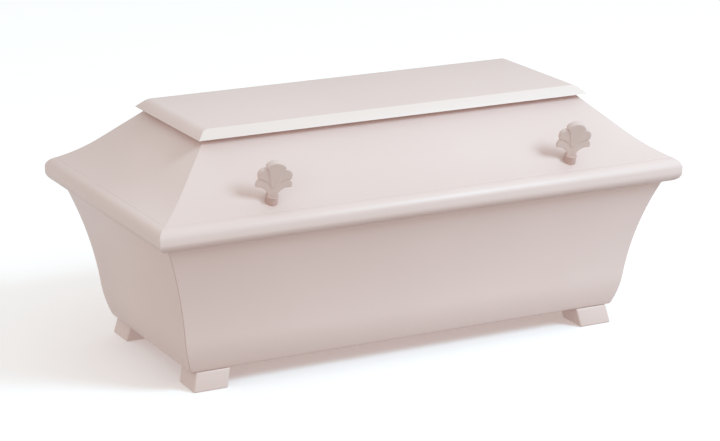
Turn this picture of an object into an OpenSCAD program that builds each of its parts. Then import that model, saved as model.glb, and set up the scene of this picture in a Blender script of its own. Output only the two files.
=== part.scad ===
// Child's coffin: a mitred box with ogee (S-curved) sides on four raked feet, under a
// coved hip lid with a rounded rim and a bevelled top board. Millimetres, +Z up,
// length along X, front side towards -Y, origin on the floor under the middle.

/* [Box] */
// Length of the box's underside
bottom_l = 660; // [600:5:720]
// Width of the box's underside
bottom_w = 280; // [255:5:320]
// Height of the box, from its underside to the lid
box_h = 191; // [180:0.5:205]
// Thickness of the side and end boards
wall = 14; // [10:1:16]
// Thickness of the base board
base_t = 12; // [9:1:16]
// Radius of the hollow, upper part of the side's curve
hollow_r = 525; // [480:5:600]
// Radius of the swelling, lower part of the side's curve
swell_r = 170; // [150:5:200]
// Height at which the hollow turns into the swelling
turn_h = 47.3; // [40:0.1:55]
// Outward lean of the side at that height, in degrees
turn_lean = 6.6; // [5:0.1:8]

/* [Feet] */
// Height of the feet
foot_h = 27; // [22:1:34]
// Length and width of a foot
foot_size = 50; // [44:1:56]
// How far a foot's top stands in from the end of the underside
foot_inset_x = 7.5; // [4:0.5:12]
// Outward rake of a foot along the length
foot_rake_x = 6; // [3:0.5:8]
// Outward rake of a foot across the width
foot_rake_y = 4.5; // [3:0.5:8]

/* [Lid rim] */
// Length over the rim, the greatest length of the coffin
rim_l = 800; // [795:1:815]
// Width of the rim's flat underside and nose together
rim_w = 34; // [30:1:38]
// Radius of the rim's lower rounding
rim_low_r = 15.5; // [12:0.5:17]
// Height of the upright face between the two roundings
rim_face_h = 3; // [1:0.5:5]
// Radius of the rim's upper rounding
rim_up_r = 17; // [14:0.5:19]
// Width of the straight land between the upper rounding and the sloping board
rim_land = 3; // [1:0.5:4]
// Radius of the rim's four outer corners
rim_corner_r = 2; // [1:0.5:8]

/* [Lid slopes] */
// Thickness of the sloping lid boards
slope_t = 12; // [9:1:14]
// Slope at the foot of the cove, in degrees
cove_start = 27; // [24:0.5:30]
// Slope of the straight upper part, in degrees
slope_angle = 42.5; // [40:0.5:45]
// Radius of the cove between the two
cove_r = 219; // [180:1:240]

/* [Top board] */
// Length over the top board's lower edge
top_l = 600; // [594:1:610]
// Width over the top board's lower edge
top_w = 222; // [216:1:230]
// Thickness of the top board, all of it bevelled
top_t = 12.3; // [10:0.1:14]
// Width of the bevel, seen from above
top_bevel = 13; // [10:0.5:15]
// Height of the top board's underside over the box's underside
top_h = 309; // [304:0.5:314]

/* [Coffin screws] */
// Distance of each screw from the middle of the length
screw_x = 229; // [180:1:260]
// Distance of each screw's foot from the middle of the width
screw_y = 181; // [179:0.5:185]
// Outward lean of each screw, which follows the flare of the side board, in degrees
screw_lean = 18; // [0:1:22]
// Turn of each screw about its own axis from square to the side, in degrees
screw_turn = 12; // [0:1:30]
// Diameter of the collar under the head
collar_d = 18; // [15:1:20]
// Height of the collar's top over the slope at its axis
collar_h = 10; // [9:0.5:12]
// Width of the stem under the palmette
stem_w = 14; // [11:1:16]
// Thickness of the palmette's outer lobes
leaf_t = 4.5; // [4:0.5:7]
// Step in thickness, on each face, from one pair of lobes to the next
leaf_step = 0.9; // [0.8:0.1:1.5]

/* [Hidden] */

$fn = 180;
// Lobes of the palmette, as [sideways, up, radius], from the middle lobe outwards, and
// the round cut that shapes the shoulder between its lowest lobe and the stem.
lobes = [[0, 36, 16], [13.5, 31.2, 10.2], [15.5, 17, 9.5]];
shoulder = [21.5, -2.5, 15.5];
// Heights of the stem and of the point where the lobes start to fan out from it
stem_h = 10;
fan_h = 2;
// How far the fan's edge runs past each lobe's centre
fan_past = stem_w / 4;
// Sweep of the side's two arcs from level, past the box's top and its underside
hollow_sweep = 26;
swell_sweep = 32;
// How far the straight slope laps into the sweep of the cove
slope_lap = 2;

box_z = foot_h;
rim_z = foot_h + box_h;
top_z = foot_h + top_h;
end_gap = (bottom_l - bottom_w) / 2;
reach = rim_l / 2;
bottom_u = bottom_l / 2;
paint = [0.93, 0.87, 0.85];
screw_paint = [0.90, 0.80, 0.78];

// Side curve: angles are the outward lean of the surface from upright.
turn_s = sin(turn_lean);
base_lean = asin(turn_s + turn_h / swell_r);
turn_u = bottom_u + swell_r * (cos(turn_lean) - cos(base_lean));
hollow_c = [turn_u + hollow_r * cos(turn_lean), box_z + turn_h - hollow_r * turn_s];
swell_c = [turn_u - swell_r * cos(turn_lean), box_z + turn_h + swell_r * turn_s];

// Lid curve: the cove starts at the seam, where the rim's straight land ends.
nose_u = rim_l / 2;
low_c = [nose_u - rim_low_r, rim_z + rim_low_r];
up_c = [nose_u - rim_up_r, low_c[1] + rim_face_h];
seam_dir = [sin(cove_start), cos(cove_start)];
land_end = up_c + rim_up_r * seam_dir;
seam = land_end + rim_land * [-cos(cove_start), sin(cove_start)];
cove_c = seam + cove_r * seam_dir;
head_dir = [sin(slope_angle), cos(slope_angle)];
slope_foot = cove_c - cove_r * head_dir;
slope_back_foot = cove_c - (cove_r + slope_t) * head_dir;
cot_slope = cos(slope_angle) / sin(slope_angle);

// Height of the lid's outer surface in the cove, at a distance u from the middle.
function cove_z(u) = cove_c[1] - sqrt(pow(cove_r, 2) - pow(cove_c[0] - u, 2));
function under_cove_z(u) =
    cove_c[1] - sqrt(pow(cove_r + slope_t, 2) - pow(cove_c[0] - u, 2));

// Part of a ring between two radii and two directions less than 90 degrees apart. The
// wedge that cuts it out reaches a little past the outer radius.
module arc_band(centre, r_in, r_out, from, to) {
    wedge_past = 1.2;
    far = wedge_past * r_out;
    mid = (from + to) / 2;
    translate(centre)
        intersection() {
            difference() {
                circle(r = r_out);
                circle(r = r_in);
            }
            polygon([
                [0, 0],
                far * [cos(from), sin(from)],
                far * [cos(mid), sin(mid)],
                far * [cos(to), sin(to)]
            ]);
        }
}

// Section of a side board: hollow above, swelling below, cut level top and bottom.
module side_section() {
    intersection() {
        union() {
            arc_band(hollow_c, hollow_r, hollow_r + wall, 180 - hollow_sweep, 180 - turn_lean);
            arc_band(swell_c, swell_r - wall, swell_r, -swell_sweep, -turn_lean);
        }
        translate([0, box_z])
            square([reach, box_h]);
    }
}

// Section of a sloping lid board: the cove and the straight slope above it, which laps
// into the thickness of the cove so that the two join in one solid.
module slope_section() {
    straight = top_z - slope_foot[1];
    back_straight = top_z - slope_back_foot[1];
    lap = 270 - slope_angle + slope_lap;
    arc_band(cove_c, cove_r, cove_r + slope_t, 270 - slope_angle, 270 - cove_start);
    polygon([
        slope_foot,
        slope_foot + straight * [-cot_slope, 1],
        slope_back_foot + back_straight * [-cot_slope, 1],
        slope_back_foot,
        cove_c + (cove_r + slope_t / 2) * [cos(lap), sin(lap)]
    ]);
}

// Section of the rim moulding: flat underside, rounded nose, bed for the slope.
module rim_section() {
    inner_u = nose_u - rim_w;
    bed = seam - slope_t * seam_dir;
    translate([inner_u, rim_z])
        square([low_c[0] - inner_u, rim_low_r]);
    arc_band(low_c, 0, rim_low_r, -90, 0);
    arc_band(up_c, 0, rim_up_r, 0, 90 - cove_start);
    difference() {
        polygon([
            [inner_u, low_c[1]],
            [nose_u, low_c[1]],
            [nose_u, up_c[1]],
            up_c,
            land_end,
            seam,
            bed,
            [inner_u, under_cove_z(inner_u)]
        ]);
        translate(cove_c)
            circle(r = cove_r + slope_t);
    }
}

// A section run across the width as the right-hand end, mitred at both corners.
module end_run() {
    intersection() {
        rotate([90, 0, 0])
            linear_extrude(height = 2 * reach, center = true)
                children();
        linear_extrude(height = 2 * reach)
            polygon([
                [end_gap, 0],
                [end_gap + reach, reach],
                [end_gap + reach, -reach]
            ]);
    }
}

// A section run along the length as the back side, mitred at both corners.
module side_run() {
    intersection() {
        translate([0, -end_gap, 0])
            rotate([90, 0, 90])
                linear_extrude(height = 3 * reach, center = true)
                    children();
        linear_extrude(height = 2 * reach)
            polygon([
                [-end_gap, 0],
                [end_gap, 0],
                [end_gap + reach, reach],
                [-end_gap - reach, reach]
            ]);
    }
}

// Plan of the rim's outer edge, with its corners rounded.
module rim_plan() {
    half_x = rim_l / 2 - rim_corner_r;
    half_y = half_x - end_gap;
    linear_extrude(height = 2 * reach)
        union() {
            square([2 * half_x, 2 * (half_y + rim_corner_r)], center = true);
            square([2 * (half_x + rim_corner_r), 2 * half_y], center = true);
            for (sx = [-1, 1], sy = [-1, 1])
                translate([sx * half_x, sy * half_y])
                    circle(r = rim_corner_r);
        }
}

module side_board() {
    color(paint)
        side_run()
            side_section();
}

module end_board() {
    color(paint)
        end_run()
            side_section();
}

module long_rim() {
    color(paint)
        intersection() {
            side_run()
                rim_section();
            rim_plan();
        }
}

module short_rim() {
    color(paint)
        intersection() {
            end_run()
                rim_section();
            rim_plan();
        }
}

module long_slope() {
    color(paint)
        side_run()
            slope_section();
}

module short_slope() {
    color(paint)
        end_run()
            slope_section();
}

// The base board's edges are fitted to the curved inner faces of the four sides.
module base_board() {
    inset = wall / 2;
    color(paint)
        difference() {
            translate([-bottom_u + inset, -bottom_w / 2 + inset, box_z])
                cube([bottom_l - wall, bottom_w - wall, base_t]);
            side_board();
            mirror([0, 1, 0])
                side_board();
            end_board();
            mirror([1, 0, 0])
                end_board();
        }
}

// Block leaning outwards both ways, for the back right-hand corner.
module foot() {
    out_x = bottom_u - foot_inset_x;
    out_y = bottom_w / 2;
    color(paint)
        intersection() {
            rotate([90, 0, 0])
                linear_extrude(height = 2 * bottom_w, center = true)
                    raked_block(out_x, foot_rake_x);
            rotate([90, 0, 90])
                linear_extrude(height = 2 * bottom_l, center = true)
                    raked_block(out_y, foot_rake_y);
        }
}

module raked_block(out, rake) {
    polygon([
        [out - foot_size + rake, 0],
        [out + rake, 0],
        [out, foot_h],
        [out - foot_size, foot_h]
    ]);
}

// Board with all of its thickness bevelled on the four edges.
module top_board() {
    color(paint)
        intersection() {
            rotate([90, 0, 0])
                linear_extrude(height = top_l, center = true)
                    bevelled_edge(top_l / 2);
            rotate([90, 0, 90])
                linear_extrude(height = 2 * top_l, center = true)
                    bevelled_edge(top_w / 2);
        }
}

module bevelled_edge(half) {
    polygon([
        [-half, top_z],
        [half, top_z],
        [half - top_bevel, top_z + top_t],
        [-half + top_bevel, top_z + top_t]
    ]);
}

// Outline of the palmette with its first n lobes on each side.
module palmette(n) {
    difference() {
        union() {
            for (i = [0 : n - 1], side = [-1, 1])
                translate([side * lobes[i][0], lobes[i][1]])
                    circle(r = lobes[i][2]);
            translate([-stem_w / 2, 0])
                square([stem_w, stem_h]);
            polygon([
                [-stem_w / 2, fan_h],
                [stem_w / 2, fan_h],
                [lobes[n - 1][0] + fan_past, lobes[n - 1][1]],
                [0, lobes[0][1]],
                [-lobes[n - 1][0] - fan_past, lobes[n - 1][1]]
            ]);
        }
        for (side = [-1, 1])
            translate([side * shoulder[0], shoulder[1]])
                circle(r = shoulder[2]);
    }
}

// Thumb-screw head for the back right-hand corner: palmette on a round collar. It is
// turned towards the left-hand end (1) or the right-hand end (-1).
module coffin_screw(hand) {
    slope_z = cove_z(screw_y + end_gap);
    buried = slope_t / 2;
    color(screw_paint)
        difference() {
            translate([screw_x, screw_y, slope_z])
                rotate([-screw_lean, 0, 0]) rotate([0, 0, hand * screw_turn])
                    union() {
                        translate([0, 0, -buried])
                            cylinder(d = collar_d, h = collar_h + buried);
                        for (n = [1 : len(lobes)])
                            translate([0, 0, collar_h])
                                rotate([90, 0, 0])
                                    linear_extrude(
                                        height = leaf_t
                                            + 2 * leaf_step * (len(lobes) - n),
                                        center = true
                                    )
                                        palmette(n);
                    }
            long_slope();
        }
}

base_board();
mirror([0, 1, 0]) side_board();  // side_front
side_board();  // side_back
mirror([1, 0, 0]) end_board();  // end_left
end_board();  // end_right
mirror([1, 0, 0]) mirror([0, 1, 0]) foot();  // foot_front_left
mirror([0, 1, 0]) foot();  // foot_front_right
mirror([1, 0, 0]) foot();  // foot_back_left
foot();  // foot_back_right
mirror([0, 1, 0]) long_rim();  // rim_front
long_rim();  // rim_back
mirror([1, 0, 0]) short_rim();  // rim_left
short_rim();  // rim_right
mirror([0, 1, 0]) long_slope();  // slope_front
long_slope();  // slope_back
mirror([1, 0, 0]) short_slope();  // slope_left
short_slope();  // slope_right
top_board();
mirror([1, 0, 0]) mirror([0, 1, 0]) coffin_screw(-1);  // screw_front_left
mirror([0, 1, 0]) coffin_screw(1);  // screw_front_right
mirror([1, 0, 0]) coffin_screw(-1);  // screw_back_left
coffin_screw(1);  // screw_back_right
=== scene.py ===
import math

import bpy
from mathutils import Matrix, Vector


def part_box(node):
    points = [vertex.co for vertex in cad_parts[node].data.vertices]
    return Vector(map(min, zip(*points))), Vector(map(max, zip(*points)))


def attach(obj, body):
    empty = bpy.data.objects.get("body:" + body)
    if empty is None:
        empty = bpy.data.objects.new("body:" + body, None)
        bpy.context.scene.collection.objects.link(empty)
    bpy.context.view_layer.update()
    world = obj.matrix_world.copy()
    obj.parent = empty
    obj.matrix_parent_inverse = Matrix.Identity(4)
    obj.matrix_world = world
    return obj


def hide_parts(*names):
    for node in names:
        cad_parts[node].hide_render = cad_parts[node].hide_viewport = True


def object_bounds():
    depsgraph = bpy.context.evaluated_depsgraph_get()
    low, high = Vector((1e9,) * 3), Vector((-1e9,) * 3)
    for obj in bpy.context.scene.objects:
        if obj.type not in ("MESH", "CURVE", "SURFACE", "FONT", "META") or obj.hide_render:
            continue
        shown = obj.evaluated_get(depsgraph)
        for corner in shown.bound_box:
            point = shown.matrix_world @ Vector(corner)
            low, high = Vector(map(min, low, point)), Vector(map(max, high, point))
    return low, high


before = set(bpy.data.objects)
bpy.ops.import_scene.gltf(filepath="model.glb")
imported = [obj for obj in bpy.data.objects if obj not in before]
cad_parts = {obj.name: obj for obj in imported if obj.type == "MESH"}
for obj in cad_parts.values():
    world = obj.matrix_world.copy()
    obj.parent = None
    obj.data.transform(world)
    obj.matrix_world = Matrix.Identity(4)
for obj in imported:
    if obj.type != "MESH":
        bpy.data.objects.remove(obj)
cad_low, cad_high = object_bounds()

# ---------------------------------------------------------------------------
# Side and end boards of the box
# Four 14 mm wooden boards milled to an ogee: a long hollow over a short swelling.
# Each is drawn as its section, run out to length and sawn to a mitre at both ends. They
# are glued at the corners and painted, and the eased arrises leave a fine line there.
wall = 0.014
hollow_radius = 0.525
swell_radius = 0.170
turn_height = 0.0473
turn_lean = math.radians(6.6)
bottom_half = 0.330
bottom_arris = 0.004
board_arris = 0.0013
weld, fine_weld = 1e-5, 1e-6
box_bottom, box_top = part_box("side_front")[0].z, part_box("side_front")[1].z
# The mitres lie on upright planes at 45 degrees, so every section stands this much
# further out at the ends than at the sides.
end_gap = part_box("end_right")[1].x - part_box("side_back")[1].y


def start_piece(name):
    """A new piece in edit mode, with one point selected at the origin."""
    bpy.ops.object.select_all(action="DESELECT")
    bpy.ops.mesh.primitive_plane_add(size=0.01)
    piece = bpy.context.object
    piece.name = name
    bpy.ops.object.mode_set(mode="EDIT")
    bpy.ops.mesh.select_mode(type="VERT")
    bpy.ops.mesh.merge(type="CENTER")
    return piece


def polar(centre, radius, angle):
    """The point of a section at an angle and a radius round a centre."""
    return centre[0] + radius * math.cos(angle), centre[1] + radius * math.sin(angle)


def draw(start, steps):
    """Draws an outline in XZ from the selected point, out in lines and round in arcs."""
    at = Vector((start[0], 0, start[1]))
    bpy.ops.transform.translate(value=at)
    for kind, x, z, *bend in steps:
        mark = Vector((x, 0, z))
        if kind == "line":
            bpy.ops.mesh.extrude_region_move(
                TRANSFORM_OT_translate={"value": mark - at}
            )
            at = mark
        else:
            turn, facet = bend
            bpy.ops.mesh.spin(
                steps=max(1, round(abs(turn) / facet)),
                angle=turn,
                center=mark,
                axis=(0, 1, 0),
            )
            arm = at - mark
            swung = polar((0, 0), arm.length, math.atan2(arm.z, arm.x) + turn)
            at = mark + Vector((swung[0], 0, swung[1]))
    bpy.ops.mesh.select_all(action="SELECT")
    bpy.ops.mesh.remove_doubles(threshold=weld)


def saw(point, normal):
    """Cuts off everything beyond a plane and closes the cut."""
    bpy.ops.mesh.select_all(action="SELECT")
    bpy.ops.mesh.bisect(
        plane_co=point, plane_no=normal, use_fill=True, clear_outer=True
    )


def ease(piece, arris, segments=2, angle=math.radians(32)):
    """Closes a mesh, rounds its sharp arrises a little and smooths its curves."""
    bpy.ops.mesh.select_all(action="SELECT")
    bpy.ops.mesh.remove_doubles(threshold=fine_weld)
    bpy.ops.mesh.normals_make_consistent(inside=False)
    bpy.ops.object.mode_set(mode="OBJECT")
    bevel = piece.modifiers.new("arris", "BEVEL")
    bevel.width = arris
    bevel.segments = segments
    bevel.angle_limit = angle
    bpy.ops.object.modifier_apply(modifier=bevel.name)
    bpy.ops.object.shade_smooth_by_angle(angle=angle)


def place_copy(piece, name, mirror=(1, 1, 1), turn=0, shift=(0, 0, 0)):
    """A copy with its own mesh, mirrored, turned about Z and shifted into place."""
    bpy.ops.object.select_all(action="DESELECT")
    piece.select_set(True)
    bpy.context.view_layer.objects.active = piece
    bpy.ops.object.duplicate()
    twin = bpy.context.object
    twin.name = name
    twin.scale = mirror
    twin.rotation_euler.z = turn
    twin.location = shift
    bpy.ops.object.transform_apply(location=True, rotation=True, scale=True)
    bpy.ops.object.mode_set(mode="EDIT")
    bpy.ops.mesh.select_all(action="SELECT")
    bpy.ops.mesh.normals_make_consistent(inside=False)
    bpy.ops.object.mode_set(mode="OBJECT")
    return twin


def run_frame(name, start, section, reach_x, arris, corner_radius=0):
    """Four mitred runs of one section round the coffin: right, left, back and front."""
    corner_cuts, cut_turn = 3, math.pi / 16
    pieces = {}
    for along in ("end", "side"):
        stand_in = 0 if along == "end" else end_gap
        piece = start_piece(f"{name}_{along}_model")
        draw(start, section)
        bpy.ops.mesh.edge_face_add()
        bpy.ops.transform.translate(value=(-stand_in, -reach_x, 0))
        bpy.ops.mesh.extrude_region_move(
            TRANSFORM_OT_translate={"value": (0, 2 * reach_x, 0)}
        )
        corner = end_gap - 2 * stand_in
        for side in (-1, 1):
            saw((corner, 0, 0), (-1, side, 0))
            for step in range(corner_cuts if corner_radius else 0):
                angle = (step + 1) * cut_turn
                out = reach_x - stand_in - corner_radius
                far = out - corner
                facing = Vector((math.cos(angle), side * math.sin(angle), 0))
                saw(Vector((out, side * far, 0)) + corner_radius * facing, facing)
        ease(piece, arris)
        pieces[along] = piece
    quarter = math.pi / 2
    frame_pieces = [
        place_copy(pieces["end"], f"{name}_right"),
        place_copy(pieces["end"], f"{name}_left", mirror=(-1, 1, 1)),
        place_copy(pieces["side"], f"{name}_back", turn=quarter),
        place_copy(pieces["side"], f"{name}_front", mirror=(-1, 1, 1), turn=quarter),
    ]
    for piece in pieces.values():
        bpy.data.objects.remove(piece)
    return frame_pieces


def satin_paint(name, tone, shade, roughness, grain):
    """Sprayed satin paint: two close tones, soft orange peel and a trace of grain."""
    paint = bpy.data.materials.new(name)
    paint.use_nodes = True
    nodes, links = paint.node_tree.nodes, paint.node_tree.links
    shader = nodes["Principled BSDF"]
    shader.inputs["IOR"].default_value = 1.46
    shader.inputs["Coat Weight"].default_value = 0.12
    shader.inputs["Coat Roughness"].default_value = 0.28
    place = nodes.new("ShaderNodeTexCoord")

    cloud = nodes.new("ShaderNodeTexNoise")
    cloud.inputs["Scale"].default_value = 4.5
    cloud.inputs["Detail"].default_value = 4
    links.new(place.outputs["Object"], cloud.inputs["Vector"])
    tint = nodes.new("ShaderNodeValToRGB")
    tint.color_ramp.elements[0].position = 0.35
    tint.color_ramp.elements[0].color = (*shade, 1)
    tint.color_ramp.elements[1].position = 0.65
    tint.color_ramp.elements[1].color = (*tone, 1)
    links.new(cloud.outputs["Fac"], tint.inputs["Fac"])
    links.new(tint.outputs["Color"], shader.inputs["Base Color"])

    mist = nodes.new("ShaderNodeTexNoise")
    mist.inputs["Scale"].default_value = 60
    mist.inputs["Detail"].default_value = 5
    links.new(place.outputs["Object"], mist.inputs["Vector"])
    gloss = nodes.new("ShaderNodeMapRange")
    gloss.inputs["To Min"].default_value = roughness - 0.05
    gloss.inputs["To Max"].default_value = roughness + 0.05
    links.new(mist.outputs["Fac"], gloss.inputs["Value"])
    links.new(gloss.outputs["Result"], shader.inputs["Roughness"])

    stretch = nodes.new("ShaderNodeMapping")
    stretch.inputs["Scale"].default_value = grain
    links.new(place.outputs["Object"], stretch.inputs["Vector"])
    fibre = nodes.new("ShaderNodeTexNoise")
    fibre.inputs["Scale"].default_value = 1
    fibre.inputs["Detail"].default_value = 3
    links.new(stretch.outputs["Vector"], fibre.inputs["Vector"])
    peel = nodes.new("ShaderNodeTexNoise")
    peel.inputs["Scale"].default_value = 380
    peel.inputs["Detail"].default_value = 1
    links.new(place.outputs["Object"], peel.inputs["Vector"])
    fibre_bump = nodes.new("ShaderNodeBump")
    fibre_bump.inputs["Strength"].default_value = 0.10
    fibre_bump.inputs["Distance"].default_value = 0.0004
    links.new(fibre.outputs["Fac"], fibre_bump.inputs["Height"])
    peel_bump = nodes.new("ShaderNodeBump")
    peel_bump.inputs["Strength"].default_value = 0.06
    peel_bump.inputs["Distance"].default_value = 0.0003
    links.new(peel.outputs["Fac"], peel_bump.inputs["Height"])
    links.new(fibre_bump.outputs["Normal"], peel_bump.inputs["Normal"])
    links.new(peel_bump.outputs["Normal"], shader.inputs["Normal"])
    return paint


def dress(piece, paint, slot, *nodes):
    """Paints a piece, fixes it to the coffin and hides the solids it stands for."""
    piece.data.materials.clear()
    piece.data.materials.append(paint)
    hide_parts(*nodes)
    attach(piece, "root")


# The section's two centres, from the point where the hollow turns into the swelling.
turn_z = box_bottom + turn_height
base_lean = math.asin(math.sin(turn_lean) + turn_height / swell_radius)
turn_u = bottom_half + swell_radius * (math.cos(turn_lean) - math.cos(base_lean))
hollow_centre = polar((turn_u, turn_z), hollow_radius, -turn_lean)
swell_centre = polar((turn_u, turn_z), -swell_radius, -turn_lean)


def lean_at(centre, radius, z):
    """How far a circle's surface leans from upright at a height, in radians."""
    return math.asin(abs(z - centre[1]) / radius)


# The bottom arris is a small quarter round between the swelling and the underside.
arris_z = box_bottom + bottom_arris
arris_lean = lean_at(swell_centre, swell_radius - bottom_arris, arris_z)
arris_centre = polar(swell_centre, swell_radius - bottom_arris, -arris_lean)
foot_lean = lean_at(swell_centre, swell_radius - wall, box_bottom)
foot_inner = polar(swell_centre, swell_radius - wall, -foot_lean)
head_lean = lean_at(hollow_centre, hollow_radius, box_top)
head_outer = polar(hollow_centre, hollow_radius, math.pi - head_lean)
inner_lean = lean_at(hollow_centre, hollow_radius + wall, box_top)
facet = math.radians(0.7)
arris_facet = math.radians(12)
board_section = [
    ("arc", *hollow_centre, head_lean - turn_lean, facet),
    ("arc", *swell_centre, turn_lean - arris_lean, 2 * facet),
    ("arc", *arris_centre, arris_lean - math.pi / 2, arris_facet),
    ("line", foot_inner[0], box_bottom),
    ("arc", *swell_centre, foot_lean - turn_lean, 2 * facet),
    ("arc", *hollow_centre, turn_lean - inner_lean, facet),
]
box_tone, box_shade = (0.792, 0.592, 0.540), (0.772, 0.576, 0.523)
box_rough = 0.40
long_grain, cross_grain = (8, 90, 90), (90, 8, 90)
box_paint = {
    "long": satin_paint("box_paint_long", box_tone, box_shade, box_rough, long_grain),
    "cross": satin_paint("box_paint_cross", box_tone, box_shade, box_rough, cross_grain),
}
boards = run_frame("board", head_outer, board_section, head_outer[0], board_arris)
for board, node in zip(boards, ("end_right", "end_left", "side_back", "side_front")):
    way = "cross" if node.startswith("end") else "long"
    dress(board, box_paint[way], "painted_boards", node)

# ---------------------------------------------------------------------------
# Base board
# A flat 12 mm wooden board let in between the four sides, flush with their undersides.
# It is seen only from below, and keeps its own solid, with the same paint as the box.
base_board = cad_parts["base_board"]
base_board.data.materials.clear()
base_board.data.materials.append(box_paint["long"])

# ---------------------------------------------------------------------------
# Feet
# Four solid wooden blocks that lean outwards both ways, glued and screwed under the
# corners of the box. Their arrises are sanded round by hand before they are painted.
foot_round = 0.0022
foot_tone, foot_shade = (0.755, 0.562, 0.508), (0.735, 0.545, 0.490)
foot_rough = 0.42
upright_grain = (70, 70, 10)
foot_paint = satin_paint("foot_paint", foot_tone, foot_shade, foot_rough, upright_grain)
foot_low, foot_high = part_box("foot_back_right")
nearly_level = 0.9


def pick_face(piece, upward):
    """Selects a block's top face (1) or its underside (-1), in edit mode."""
    bpy.ops.object.mode_set(mode="EDIT")
    bpy.ops.mesh.select_all(action="DESELECT")
    bpy.ops.mesh.select_mode(type="FACE")
    bpy.ops.object.mode_set(mode="OBJECT")
    for face in piece.data.polygons:
        face.select = face.normal.z * upward > nearly_level
    bpy.ops.object.mode_set(mode="EDIT")


block = 0.050
bpy.ops.object.select_all(action="DESELECT")
bpy.ops.mesh.primitive_cube_add(
    size=1,
    location=(
        foot_low.x + block / 2,
        foot_low.y + block / 2,
        (foot_low.z + foot_high.z) / 2,
    ),
    scale=(block, block, foot_high.z - foot_low.z),
)
foot_model = bpy.context.object
bpy.ops.object.transform_apply(location=True, rotation=True, scale=True)
pick_face(foot_model, -1)
bpy.ops.transform.translate(
    value=(foot_high.x - foot_low.x - block, foot_high.y - foot_low.y - block, 0)
)
ease(foot_model, foot_round, segments=4)
for end, side_x in (("left", -1), ("right", 1)):
    for side, side_y in (("front", -1), ("back", 1)):
        foot = place_copy(foot_model, f"foot_{side}_{end}_block", (side_x, side_y, 1))
        dress(foot, foot_paint, "painted_feet", f"foot_{side}_{end}")
bpy.data.objects.remove(foot_model)

# ---------------------------------------------------------------------------
# Rim of the lid
# A wooden moulding with a flat underside and a full, rounded nose, mitred into a frame
# that rests on the top edge of the box and overhangs it. The lid's outer corners are
# eased by sanding; the sloping boards stand in the bed cut along its inner side.
rim_width = 0.034
rim_low_radius = 0.0155
rim_face = 0.003
rim_up_radius = 0.017
rim_land = 0.003
rim_corner_radius = 0.002
rim_arris = 0.0003
low_facet, up_facet, bed_facet = math.radians(6), math.radians(4), math.radians(2)
cove_start = math.radians(27)
cove_radius = 0.219
slope_thickness = 0.012
rim_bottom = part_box("rim_front")[0].z
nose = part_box("rim_right")[1].x
low_centre = (nose - rim_low_radius, rim_bottom + rim_low_radius)
up_centre = (nose - rim_up_radius, low_centre[1] + rim_face)
seam_turn = math.pi / 2 - cove_start
land_end = polar(up_centre, rim_up_radius, seam_turn)
seam = polar(land_end, rim_land, math.pi - cove_start)
bed = polar(seam, -slope_thickness, seam_turn)
cove_centre = polar(seam, cove_radius, seam_turn)
rim_inner = nose - rim_width
bed_turn = math.asin((cove_centre[0] - rim_inner) / (cove_radius + slope_thickness))
rim_section = [
    ("line", low_centre[0], rim_bottom),
    ("arc", *low_centre, math.pi / 2, low_facet),
    ("line", nose, up_centre[1]),
    ("arc", *up_centre, seam_turn, up_facet),
    ("line", *seam),
    ("line", *bed),
    ("arc", *cove_centre, cove_start - bed_turn, bed_facet),
]
lid_tone, lid_shade = (0.758, 0.572, 0.523), (0.738, 0.554, 0.505)
lid_rough = 0.48
lid_paint = {
    "long": satin_paint("lid_paint_long", lid_tone, lid_shade, lid_rough, long_grain),
    "cross": satin_paint("lid_paint_cross", lid_tone, lid_shade, lid_rough, cross_grain),
}
rims = run_frame(
    "rim_moulding", (rim_inner, rim_bottom), rim_section, nose, rim_arris,
    corner_radius=rim_corner_radius,
)
for rim, node in zip(rims, ("rim_right", "rim_left", "rim_back", "rim_front")):
    way = "long" if node in ("rim_back", "rim_front") else "cross"
    dress(rim, lid_paint[way], "painted_lid", node)

# ---------------------------------------------------------------------------
# Sloping boards of the lid
# Four 12 mm wooden boards, coved at the foot and straight above, that rise from the rim
# to the top board. They meet in mitres along the hips, which are filled and painted over.
slope_angle = math.radians(42.5)
slope_arris = 0.0002
slope_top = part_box("top_board")[0].z
slope_foot = polar(cove_centre, -cove_radius, math.pi / 2 - slope_angle)
back_foot = polar(
    cove_centre, -cove_radius - slope_thickness, math.pi / 2 - slope_angle
)


def up_slope(foot):
    """Where a slope drawn up from its foot meets the top board."""
    return foot[0] - (slope_top - foot[1]) / math.tan(slope_angle), slope_top


slope_section = [
    ("arc", *cove_centre, cove_start - slope_angle, facet),
    ("line", *up_slope(slope_foot)),
    ("line", *up_slope(back_foot)),
    ("line", *back_foot),
    ("arc", *cove_centre, slope_angle - cove_start, 2 * facet),
]
slopes = run_frame("slope_board", seam, slope_section, nose, slope_arris)
for slope, node in zip(
    slopes, ("slope_right", "slope_left", "slope_back", "slope_front")
):
    way = "long" if node in ("slope_back", "slope_front") else "cross"
    dress(slope, lid_paint[way], "painted_lid", node)

# ---------------------------------------------------------------------------
# Top board
# A flat 12 mm wooden board, bevelled all round, that overhangs the slopes. The upper
# arris is sanded well round across the grain, at the ends, and left crisp along it. The
# bevels along the front and back have a smoother paint in a lighter tone, a painted
# highlight.
bevel_width = 0.013
end_round = 0.0055
board_edge = 0.0005
board_low, board_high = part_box("top_board")
span = board_high - board_low
bpy.ops.object.select_all(action="DESELECT")
bpy.ops.mesh.primitive_cube_add(
    size=1, location=(board_low + board_high) / 2, scale=span
)
top_board = bpy.context.object
top_board.name = "lid_top_board"
bpy.ops.object.transform_apply(location=True, rotation=True, scale=True)
pick_face(top_board, 1)
bpy.ops.transform.resize(
    value=(1 - 2 * bevel_width / span.x, 1 - 2 * bevel_width / span.y, 1),
    center_override=(0, 0, board_high.z),
)
bpy.ops.mesh.select_all(action="DESELECT")
bpy.ops.mesh.select_mode(type="EDGE")
bpy.ops.object.mode_set(mode="OBJECT")
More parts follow.
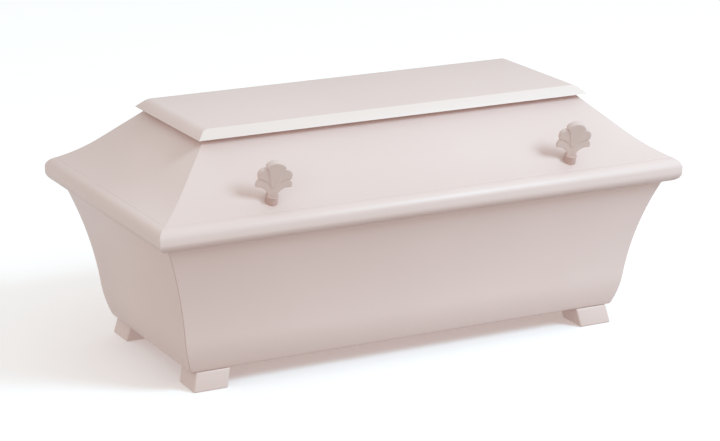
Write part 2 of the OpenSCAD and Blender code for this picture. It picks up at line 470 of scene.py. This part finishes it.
for edge in top_board.data.edges:
    one, two = (top_board.data.vertices[end].co for end in edge.vertices)
    upper = min(one.z, two.z) > (board_low.z + board_high.z) / 2
    edge.select = upper and abs(one.x - two.x) < board_edge
bpy.ops.object.mode_set(mode="EDIT")
bpy.ops.mesh.bevel(offset=end_round, segments=8, affect="EDGES")
ease(top_board, board_edge)
dress(top_board, lid_paint["long"], "painted_lid", "top_board")
# The front and back bevels get a lighter paint than the rest of the lid: a painted
# highlight.
bevel_highlight_tone, bevel_highlight_second_tone = (0.79, 0.63, 0.575), (0.78, 0.62, 0.565)
bevel_rough = 0.40
top_board.data.materials.append(
    satin_paint("bevel_painted_highlight", bevel_highlight_tone, bevel_highlight_second_tone, bevel_rough, long_grain)
)
# Faces turned to the front or back take the lighter paint, the painted highlight.
highlight_facing = 0.5
for face in top_board.data.polygons:
    face.material_index = int(abs(face.normal.y) > highlight_facing)

# ---------------------------------------------------------------------------
# Coffin screws
# Four cast metal thumb-screws that hold the lid down: a palmette of five lobes, fused as
# in the mould, on a turned collar, painted a shade pinker than the lid. Each leans out
# with the flare of the side board and stops a little short of square to it.
screw_x, screw_y = 0.229, 0.181
screw_lean = math.radians(18)
screw_turn = math.radians(-12)
collar_rise = 0.010
stem_half = 0.007
lobe_root = 0.0050
lobe_round = 0.0018
cast_grain = 0.0004
cast_smoothing = 3
lobe_facet, bead_facet = math.radians(9), math.radians(30)
top_swelling, middle_swelling, lower_swelling = 0.80, 0.40, -0.10
# Circles of the outline, as x, z and radius. The lobes' tips come first, then the
# hollows that part one lobe from the next, and then the shoulder above the stem.
top_tip = (0, 0.036, 0.016)
middle_tip = (0.0135, 0.0312, 0.0102)
lower_tip = (0.0155, 0.017, 0.0095)
upper_hollow = (0.0245, 0.0317, 0.0155)
lower_hollow = (0.0241, 0.0032, 0.0223)
shoulder = (0.0215, -0.0025, 0.0155)


def meet(one, two, hand):
    """Where two circles cross, on the left (1) or right (-1) going from one to two."""
    start = Vector(one[:2])
    way = Vector(two[:2]) - start
    gap = way.length
    way.normalize()
    along = (one[2] ** 2 - two[2] ** 2 + gap ** 2) / (2 * gap)
    out = hand * math.sqrt(one[2] ** 2 - along ** 2)
    return start + along * way + out * Vector((-way.y, way.x))


def round_to(circle, start, stop, hand):
    """The step round a circle from one point to another, to the left (1) or right."""
    centre = Vector(circle[:2])
    turn = -(start - centre).angle_signed(stop - centre)
    return ("arc", *centre, hand * (hand * turn % (2 * math.pi)), lobe_facet)


def cast_lobe(name, start, outline, swelling):
    """A slab cut to an outline, thicker towards its tip, with its edge rounded over."""
    lobe = start_piece(name)
    draw(start, outline)
    bpy.ops.mesh.edge_face_add()
    bpy.ops.transform.translate(value=(0, -lobe_root / 2, 0))
    bpy.ops.mesh.extrude_region_move(
        TRANSFORM_OT_translate={"value": (0, lobe_root, 0)}
    )
    bpy.ops.object.mode_set(mode="OBJECT")
    taper = lobe.modifiers.new("taper", "SIMPLE_DEFORM")
    taper.deform_method = "TAPER"
    taper.deform_axis = "Z"
    taper.lock_x = True
    taper.factor = swelling
    bpy.ops.object.modifier_apply(modifier=taper.name)
    bpy.ops.object.mode_set(mode="EDIT")
    ease(lobe, lobe_round, segments=5, angle=math.radians(60))
    return lobe


mirrored = Vector((-1, 1))
# The lobes start below the collar's top, and each side's lap over the middle line.
sunk = -0.002
overlap = -0.004
middle_head = (0.008, 0.0437)
lower_head = 0.026
bay_angle, brow_angle = math.radians(162), math.radians(100)
notch = meet(top_tip, upper_hollow, 1)
waist = Vector((upper_hollow[0] - upper_hollow[2], upper_hollow[1]))
far_hollow = (-upper_hollow[0], *upper_hollow[1:])
fade_half, fade_z = 0.004, 0.012
top_lobe = cast_lobe("top_lobe", (fade_half, fade_z), [
    ("line", *waist),
    round_to(upper_hollow, waist, notch, -1),
    round_to(top_tip, notch, notch * mirrored, 1),
    round_to(far_hollow, notch * mirrored, waist * mirrored, -1),
    ("line", -fade_half, fade_z),
], top_swelling)
notch = meet(middle_tip, lower_hollow, 1)
bay = Vector(polar(lower_hollow[:2], lower_hollow[2], bay_angle))
brow = Vector(polar(middle_tip[:2], middle_tip[2], brow_angle))
middle_lobe = cast_lobe("middle_lobe", (overlap, sunk), [
    ("line", *bay),
    round_to(lower_hollow, bay, notch, -1),
    round_to(middle_tip, notch, brow, 1),
    ("line", *middle_head),
    ("line", overlap, middle_head[1]),
], middle_swelling)
notch = meet(shoulder, lower_tip, -1)
neck_rise = math.sqrt(shoulder[2] ** 2 - (shoulder[0] - stem_half) ** 2)
neck = Vector((stem_half, shoulder[1] + neck_rise))
brow = Vector(polar(lower_tip[:2], lower_tip[2], brow_angle))
lower_lobe = cast_lobe("lower_lobe", (overlap, sunk), [
    ("line", stem_half, sunk),
    ("line", *neck),
    round_to(shoulder, neck, notch, -1),
    round_to(lower_tip, notch, brow, 1),
    ("line", overlap, lower_head),
], lower_swelling)
parts = [top_lobe, middle_lobe, lower_lobe]
for lobe in (middle_lobe, lower_lobe):
    parts.append(place_copy(lobe, f"{lobe.name}_left", mirror=(-1, 1, 1)))
bpy.ops.object.select_all(action="DESELECT")
for part in parts:
    part.select_set(True)
bpy.context.view_layer.objects.active = top_lobe
bpy.ops.object.join()
palmette = bpy.context.object
for kind, setting, value in (
    ("REMESH", "voxel_size", cast_grain),
    ("SMOOTH", "iterations", cast_smoothing),
):
    change = palmette.modifiers.new(kind.lower(), kind)
    setattr(change, setting, value)
    bpy.ops.object.modifier_apply(modifier=change.name)
bpy.ops.object.shade_smooth()


def lean_out(piece, lift, turn):
    """Lifts a piece along the screw's axis, turns it about it and leans both outwards."""
    bpy.ops.object.select_all(action="DESELECT")
    piece.select_set(True)
    bpy.context.view_layer.objects.active = piece
    piece.location.z = lift
    piece.rotation_euler.z = turn
    bpy.ops.object.transform_apply(location=True, rotation=True, scale=True)
    piece.rotation_euler.x = screw_lean
    bpy.ops.object.transform_apply(location=True, rotation=True, scale=True)


lean_out(palmette, collar_rise, screw_turn)

# The collar flares a little down to the lid and is cut there to the slope.
foot_run = cove_centre[0] - screw_y - end_gap
slope_lean = math.asin(foot_run / cove_radius)
collar_top, collar_foot = 0.0082, 0.0098
collar_root, cut_depth = -0.012, 0.0015
collar_steps, collar_arris = 64, 0.0002
bead = 0.0008
collar = start_piece("collar_model")
draw((0, collar_root), [
    ("line", collar_foot, collar_root),
    ("line", collar_top, collar_rise - 3 * bead),
    ("line", collar_top, collar_rise - 2 * bead),
    ("arc", collar_top, collar_rise - bead, math.pi, bead_facet),
    ("line", collar_top - bead, collar_rise),
    ("line", 0, collar_rise),
])
bpy.ops.mesh.spin(
    steps=collar_steps, angle=2 * math.pi, center=(0, 0, 0), axis=(0, 0, 1)
)
bpy.ops.mesh.select_all(action="SELECT")
bpy.ops.mesh.remove_doubles(threshold=fine_weld)
bpy.ops.mesh.normals_make_consistent(inside=False)
bpy.ops.object.mode_set(mode="OBJECT")
lean_out(collar, 0, 0)
bpy.ops.object.mode_set(mode="EDIT")
saw((0, 0, -cut_depth), (0, math.sin(slope_lean), -math.cos(slope_lean)))
ease(collar, collar_arris)

screw_tone, screw_shade = (0.72, 0.54, 0.487), (0.69, 0.51, 0.456)
collar_tone, collar_shade = (0.60, 0.40, 0.35), (0.56, 0.37, 0.32)
metal_rough, even_grain = 0.38, (60, 60, 60)
screw_paint = satin_paint("screw_paint", screw_tone, screw_shade, metal_rough, even_grain)
collar_paint = satin_paint(
    "collar_paint", collar_tone, collar_shade, metal_rough, even_grain
)
palmette.data.materials.append(screw_paint)
collar.data.materials.append(collar_paint)
bpy.ops.object.select_all(action="DESELECT")
collar.select_set(True)
palmette.select_set(True)
bpy.context.view_layer.objects.active = palmette
bpy.ops.object.join()
screw_model = bpy.context.object
slope_z = cove_centre[1] - cove_radius * math.cos(slope_lean)
for end, side_x in (("left", -1), ("right", 1)):
    for side, side_y in (("front", -1), ("back", 1)):
        screw = place_copy(
            screw_model,
            f"coffin_screw_{side}_{end}",
            mirror=(1, -side_y, 1),
            shift=(side_x * screw_x, side_y * screw_y, slope_z),
        )
        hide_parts(f"screw_{side}_{end}")
        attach(screw, "root")
bpy.data.objects.remove(screw_model)

# ---------------------------------------------------------------------------
# Studio
# A plain pale floor under pale light from all round, with a broad soft lamp high on the
# front right and a weak one on the left. The camera stands a few metres off, to the left
# of the front.
bpy.ops.object.select_all(action="DESELECT")
bpy.ops.mesh.primitive_plane_add(size=40, location=(0, 0, 0))
floor = bpy.context.object
floor.name = "studio_floor"
floor_finish = bpy.data.materials.new("floor_finish")
floor_finish.use_nodes = True
floor_shader = floor_finish.node_tree.nodes["Principled BSDF"]
floor_shader.inputs["Base Color"].default_value = (0.95, 0.88, 0.86, 1)
floor_shader.inputs["Emission Color"].default_value = (1, 1, 1, 1)
floor_shader.inputs["Emission Strength"].default_value = 0.16
floor_shader.inputs["Roughness"].default_value = 0.9
floor_shader.inputs["Specular IOR Level"].default_value = 0.2
floor.data.materials.append(floor_finish)
floor.visible_diffuse = False
floor.visible_shadow = False

sky_colour = (0.777, 0.828, 0.838)
ground_colour = (0.625, 0.625, 0.625)
shaded_ground = (0.380, 0.370, 0.370)
shade_end, glow_start, glow_end, sky_start = 0.10, 0.36, 0.50, 0.56
world = bpy.data.worlds.new("studio")
world.use_nodes = True
air, air_links = world.node_tree.nodes, world.node_tree.links
direction = air.new("ShaderNodeTexCoord")
height = air.new("ShaderNodeSeparateXYZ")
air_links.new(direction.outputs["Generated"], height.inputs["Vector"])
lift = air.new("ShaderNodeMapRange")
lift.inputs["From Min"].default_value = -1
lift.inputs["From Max"].default_value = 1
air_links.new(height.outputs["Z"], lift.inputs["Value"])
# The bounce from the floor is weakest straight below, where the coffin shades it.
horizon = air.new("ShaderNodeValToRGB")
horizon.color_ramp.elements[0].position = shade_end
horizon.color_ramp.elements[0].color = (*shaded_ground, 1)
horizon.color_ramp.elements[1].position = glow_start
horizon.color_ramp.elements[1].color = (*ground_colour, 1)
horizon.color_ramp.elements.new(glow_end).color = (*ground_colour, 1)
horizon.color_ramp.elements.new(sky_start).color = (*sky_colour, 1)
air_links.new(lift.outputs["Result"], horizon.inputs["Fac"])
air_links.new(horizon.outputs["Color"], air["Background"].inputs["Color"])
bpy.context.scene.world = world


def aim(thing, target):
    """Turns a lamp or a camera to look at a point, with its top up."""
    thing.rotation_euler = (target - thing.location).to_track_quat("-Z", "Y").to_euler()


middle = (cad_low + cad_high) / 2
for name, place, size, power, tint in (
    ("key_softbox", (1.9, -2.5, 2.6), 1.6, 84, (0.65, 1.0, 1.19)),
    ("left_softbox", (-2.6, -2.0, 1.2), 1.6, 8.5, (0.75, 1.05, 1.0)),
):
    bpy.ops.object.light_add(type="AREA", location=place)
    lamp = bpy.context.object
    lamp.name = name
    lamp.data.shape = "DISK"
    lamp.data.size = size
    lamp.data.energy = power
    lamp.data.color = tint
    aim(lamp, middle)

camera_azimuth = math.radians(-27.2)
camera_elevation = math.radians(16.14)
camera_distance = 3.602
camera_target = Vector((0.0224, 0.0539, 0.1430))
bpy.ops.object.camera_add()
camera = bpy.context.object
camera.name = "camera"
camera.data.sensor_width = 36
camera.data.lens = 124.4
camera.location = camera_target + camera_distance * Vector((
    math.sin(camera_azimuth) * math.cos(camera_elevation),
    -math.cos(camera_azimuth) * math.cos(camera_elevation),
    math.sin(camera_elevation),
))
aim(camera, camera_target)
bpy.context.scene.camera = camera
bpy.context.scene.view_settings.view_transform = "Standard"
